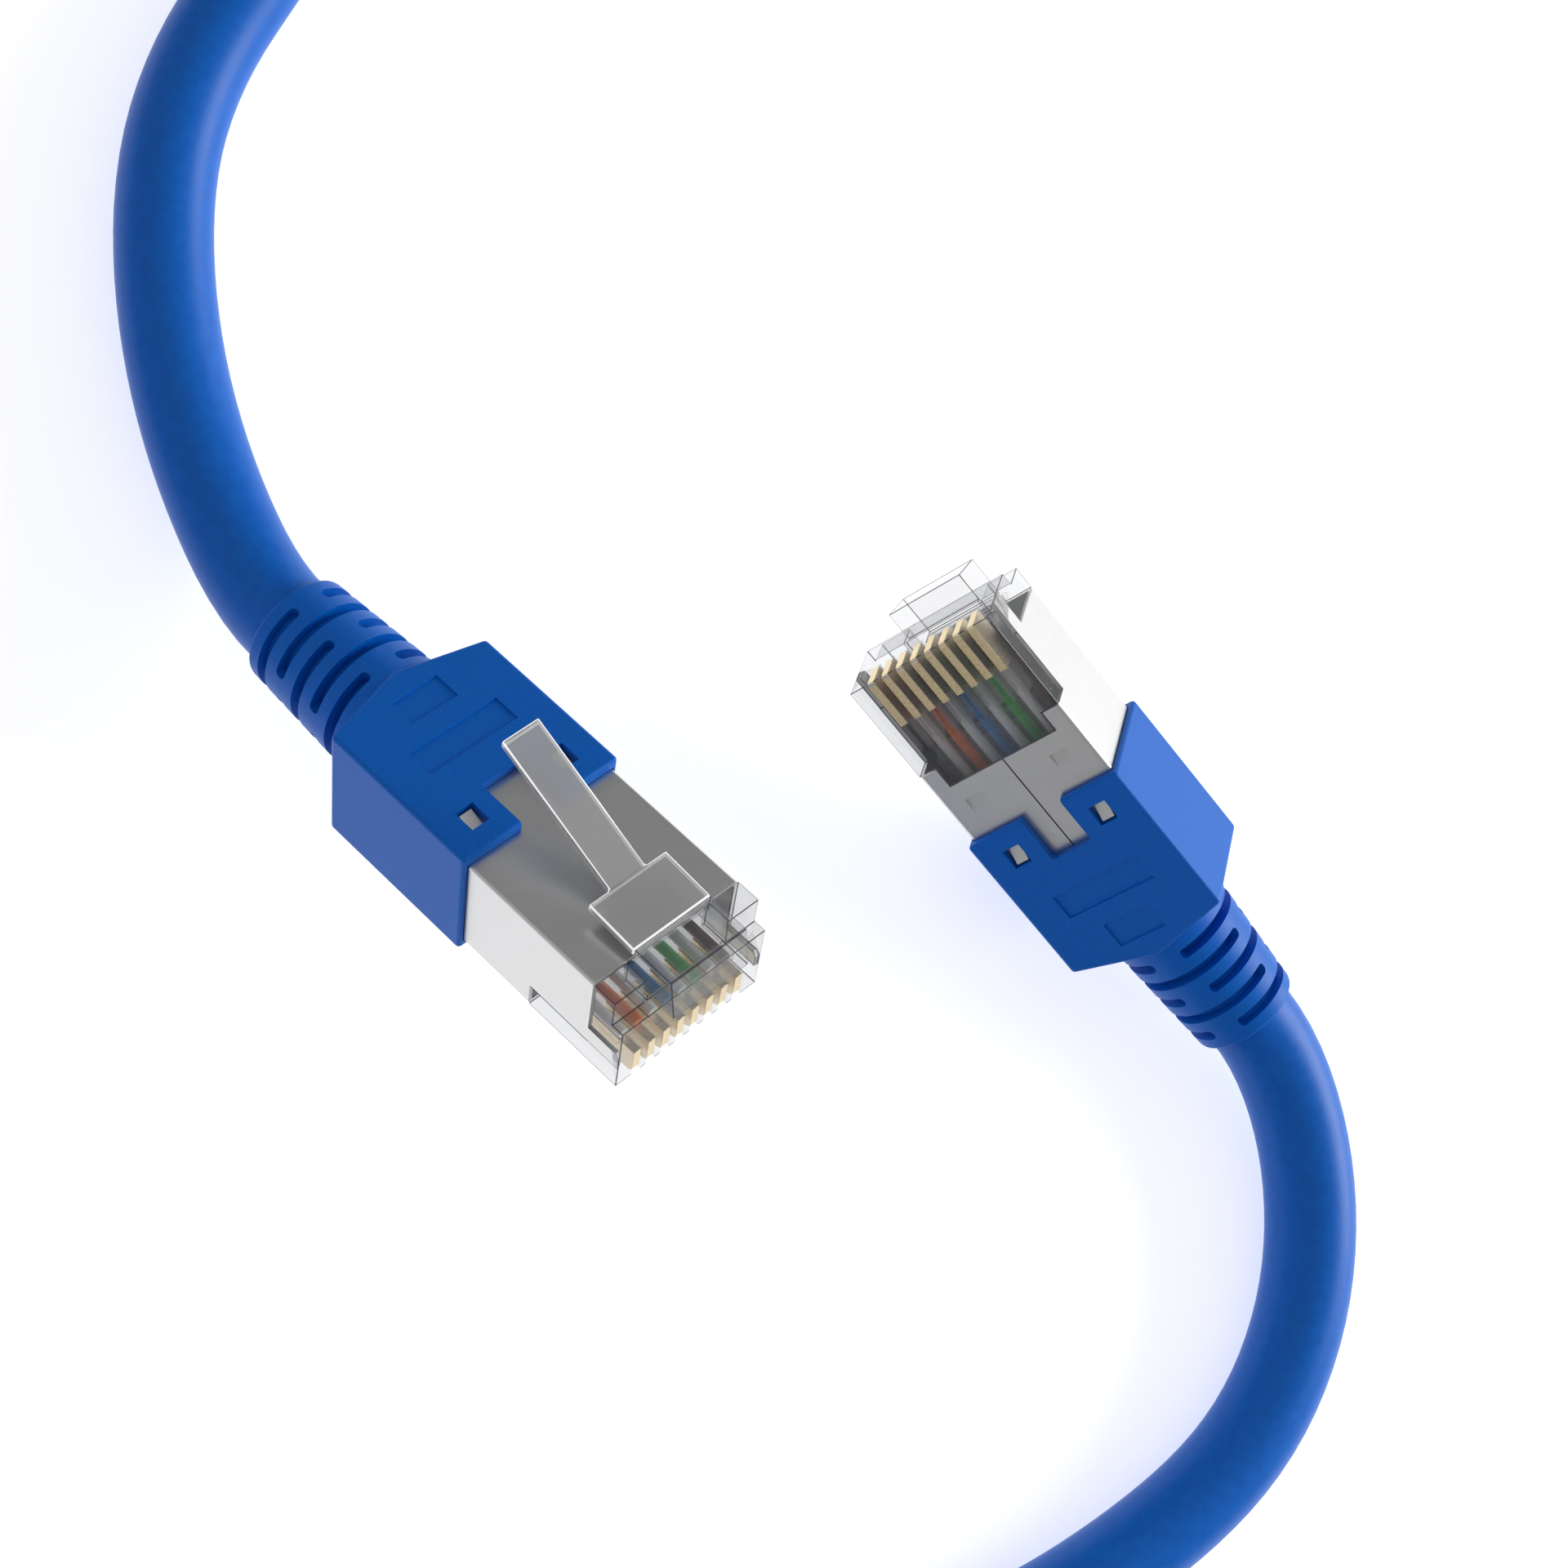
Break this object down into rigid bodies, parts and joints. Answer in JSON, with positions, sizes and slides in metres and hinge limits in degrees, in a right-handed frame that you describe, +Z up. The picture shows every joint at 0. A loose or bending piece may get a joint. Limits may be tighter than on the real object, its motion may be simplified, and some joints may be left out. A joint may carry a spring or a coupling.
{
  "type": "ethernet patch cable",
  "caption": "Short shielded ethernet patch cable: a round blue cord with a clear-nosed modular plug, slotted boot and sprung latch on each end.",
  "frame": {"origin": "bottom centre of the box around the two plugs, on the surface the cord lies on", "axes": "+Z up from that surface; +X along the longer side of the box around the two plugs, from plug A to plug B; +Y away from the viewer of the plugs"},
  "size_m": [0.1322, 0.1606, 0.0317],
  "materials": {
    "clear_plastic": "clear moulded polycarbonate",
    "nickelled_sheet": "bright nickel plate on stamped sheet",
    "blue_boot": "soft moulded vinyl, satin",
    "blue_jacket": "smooth extruded vinyl, satin",
    "tinned_braid": "tinned copper braid",
    "foil": "aluminium foil on film",
    "gold_contact": "thin gold plate",
    "wire_white_orange": "extruded insulation",
    "wire_orange": "extruded insulation",
    "wire_white_green": "extruded insulation",
    "wire_blue": "extruded insulation",
    "wire_white_blue": "extruded insulation",
    "wire_green": "extruded insulation",
    "wire_white_brown": "extruded insulation",
    "wire_brown": "extruded insulation"
  },
  "bodies": {
    "root": {"plug_a_housing": "clear_plastic", "plug_a_load_bar": "clear_plastic", "plug_a_shield": "nickelled_sheet", "plug_a_boot": "blue_boot", "plug_a_braid": "tinned_braid", "plug_a_foil": "foil", "plug_a_contact_1": "gold_contact", "plug_a_contact_2": "gold_contact", "plug_a_contact_3": "gold_contact", "plug_a_contact_4": "gold_contact", "plug_a_contact_5": "gold_contact", "plug_a_contact_6": "gold_contact", "plug_a_contact_7": "gold_contact", "plug_a_contact_8": "gold_contact", "plug_a_wire_1_white_orange": "wire_white_orange", "plug_a_wire_2_orange": "wire_orange", "plug_a_wire_3_white_green": "wire_white_green", "plug_a_wire_4_blue": "wire_blue", "plug_a_wire_5_white_blue": "wire_white_blue", "plug_a_wire_6_green": "wire_green", "plug_a_wire_7_white_brown": "wire_white_brown", "plug_a_wire_8_brown": "wire_brown", "plug_b_housing": "clear_plastic", "plug_b_load_bar": "clear_plastic", "plug_b_shield": "nickelled_sheet", "plug_b_boot": "blue_boot", "plug_b_braid": "tinned_braid", "plug_b_foil": "foil", "plug_b_contact_1": "gold_contact", "plug_b_contact_2": "gold_contact", "plug_b_contact_3": "gold_contact", "plug_b_contact_4": "gold_contact", "plug_b_contact_5": "gold_contact", "plug_b_contact_6": "gold_contact", "plug_b_contact_7": "gold_contact", "plug_b_contact_8": "gold_contact", "plug_b_wire_1_white_orange": "wire_white_orange", "plug_b_wire_2_orange": "wire_orange", "plug_b_wire_3_white_green": "wire_white_green", "plug_b_wire_4_blue": "wire_blue", "plug_b_wire_5_white_blue": "wire_white_blue", "plug_b_wire_6_green": "wire_green", "plug_b_wire_7_white_brown": "wire_white_brown", "plug_b_wire_8_brown": "wire_brown", "cable_jacket": "blue_jacket"},
    "latch_a": {"plug_a_latch": "clear_plastic"},
    "latch_b": {"plug_b_latch": "clear_plastic"}
  },
  "joints": [
    {"name": "latch_a_press", "type": "hinge", "parent": "root", "child": "latch_a", "pos_m": [-0.01454, -0.00832, 0.02895], "axis": [-0.8078, -0.5493, 0.2137], "range_deg": [0, 14], "stiffness_Nm_per_rad": 0.08},
    {"name": "latch_b_press", "type": "hinge", "parent": "root", "child": "latch_b", "pos_m": [0.01181, 0.01404, 0.00908], "axis": [-0.5518, -0.3599, -0.7523], "range_deg": [0, 14], "stiffness_Nm_per_rad": 0.08}
  ]
}
